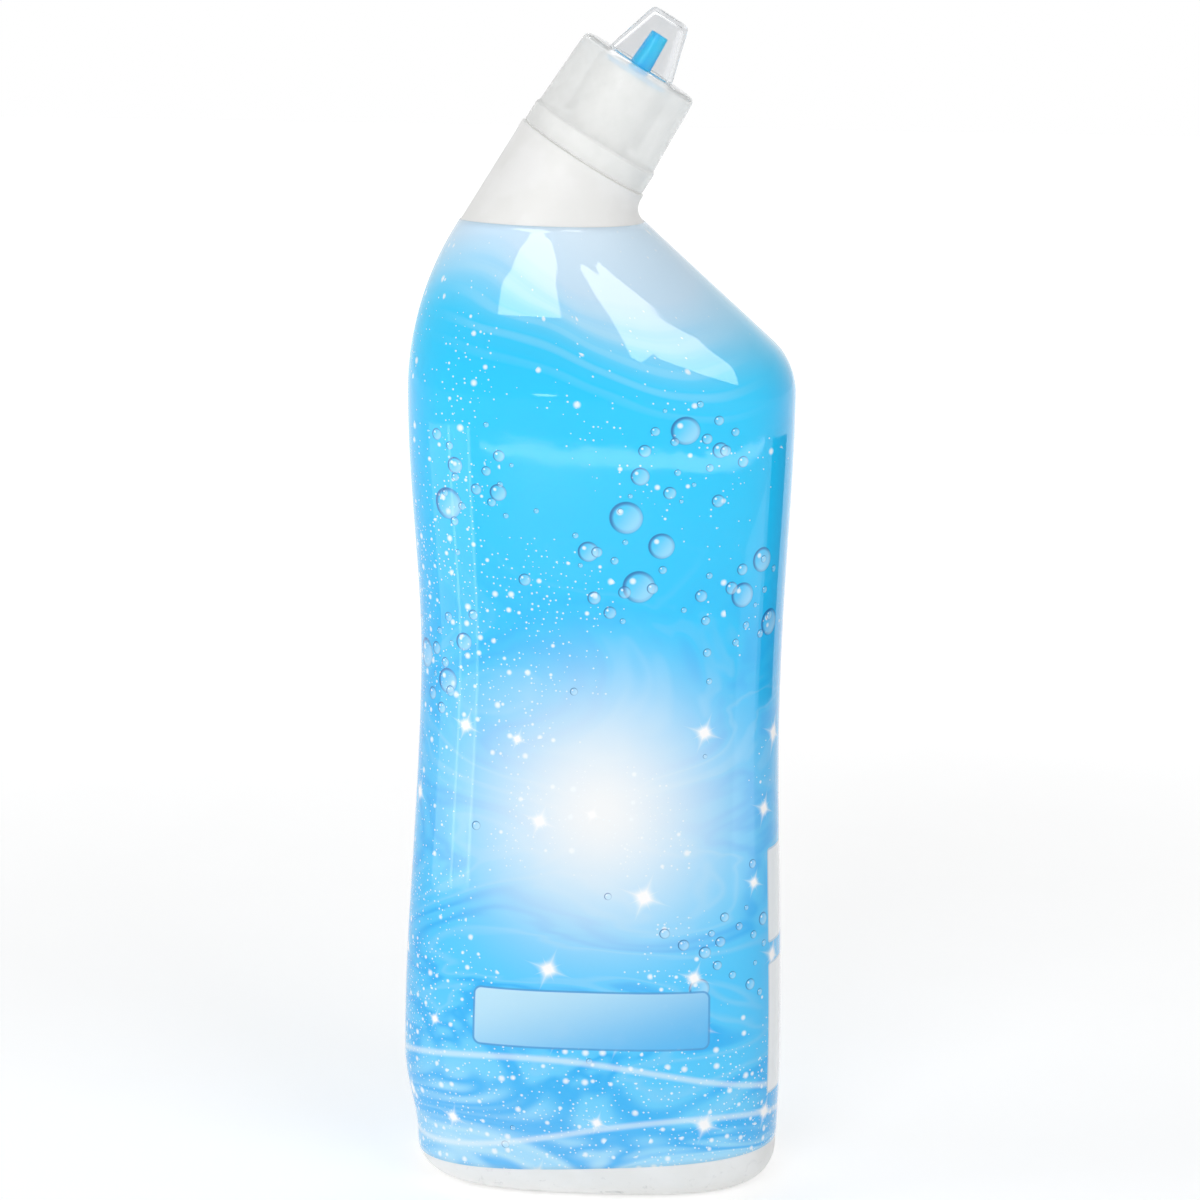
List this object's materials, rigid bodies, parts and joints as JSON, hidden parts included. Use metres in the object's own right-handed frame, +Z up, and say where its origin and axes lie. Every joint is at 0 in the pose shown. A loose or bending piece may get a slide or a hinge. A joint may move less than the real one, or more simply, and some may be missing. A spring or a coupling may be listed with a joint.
{
  "type": "toilet gel bottle",
  "caption": "Upright squeeze bottle with an oval body, a sloped front shoulder, a leaning neck, a printed sleeve and a screw cap with a hollow cone over its spout.",
  "frame": {"origin": "middle of the foot, on the surface that the bottle stands on", "axes": "+Z up; +X the way the neck leans, towards the front edge; +Y across the bottle, through its two broad faces"},
  "size_m": [0.0952, 0.065, 0.2916],
  "materials": {
    "white_plastic": "satin white blown plastic",
    "printed_film": "glossy printed shrink film",
    "blue_plastic": "soft moulded plastic",
    "clear_plastic": "frosted translucent plastic",
    "blue_gel": "thick clear blue gel"
  },
  "bodies": {
    "container": {"bottle": "white_plastic", "sleeve_label": "printed_film", "nozzle_insert": "blue_plastic", "gel": "blue_gel"},
    "closure": {"cap": "clear_plastic"}
  },
  "joints": [
    {"name": "cap_lift", "type": "slide", "parent": "container", "child": "closure", "axis": [0.524, 0, 0.8517], "range_m": [0, 0.04]}
  ]
}
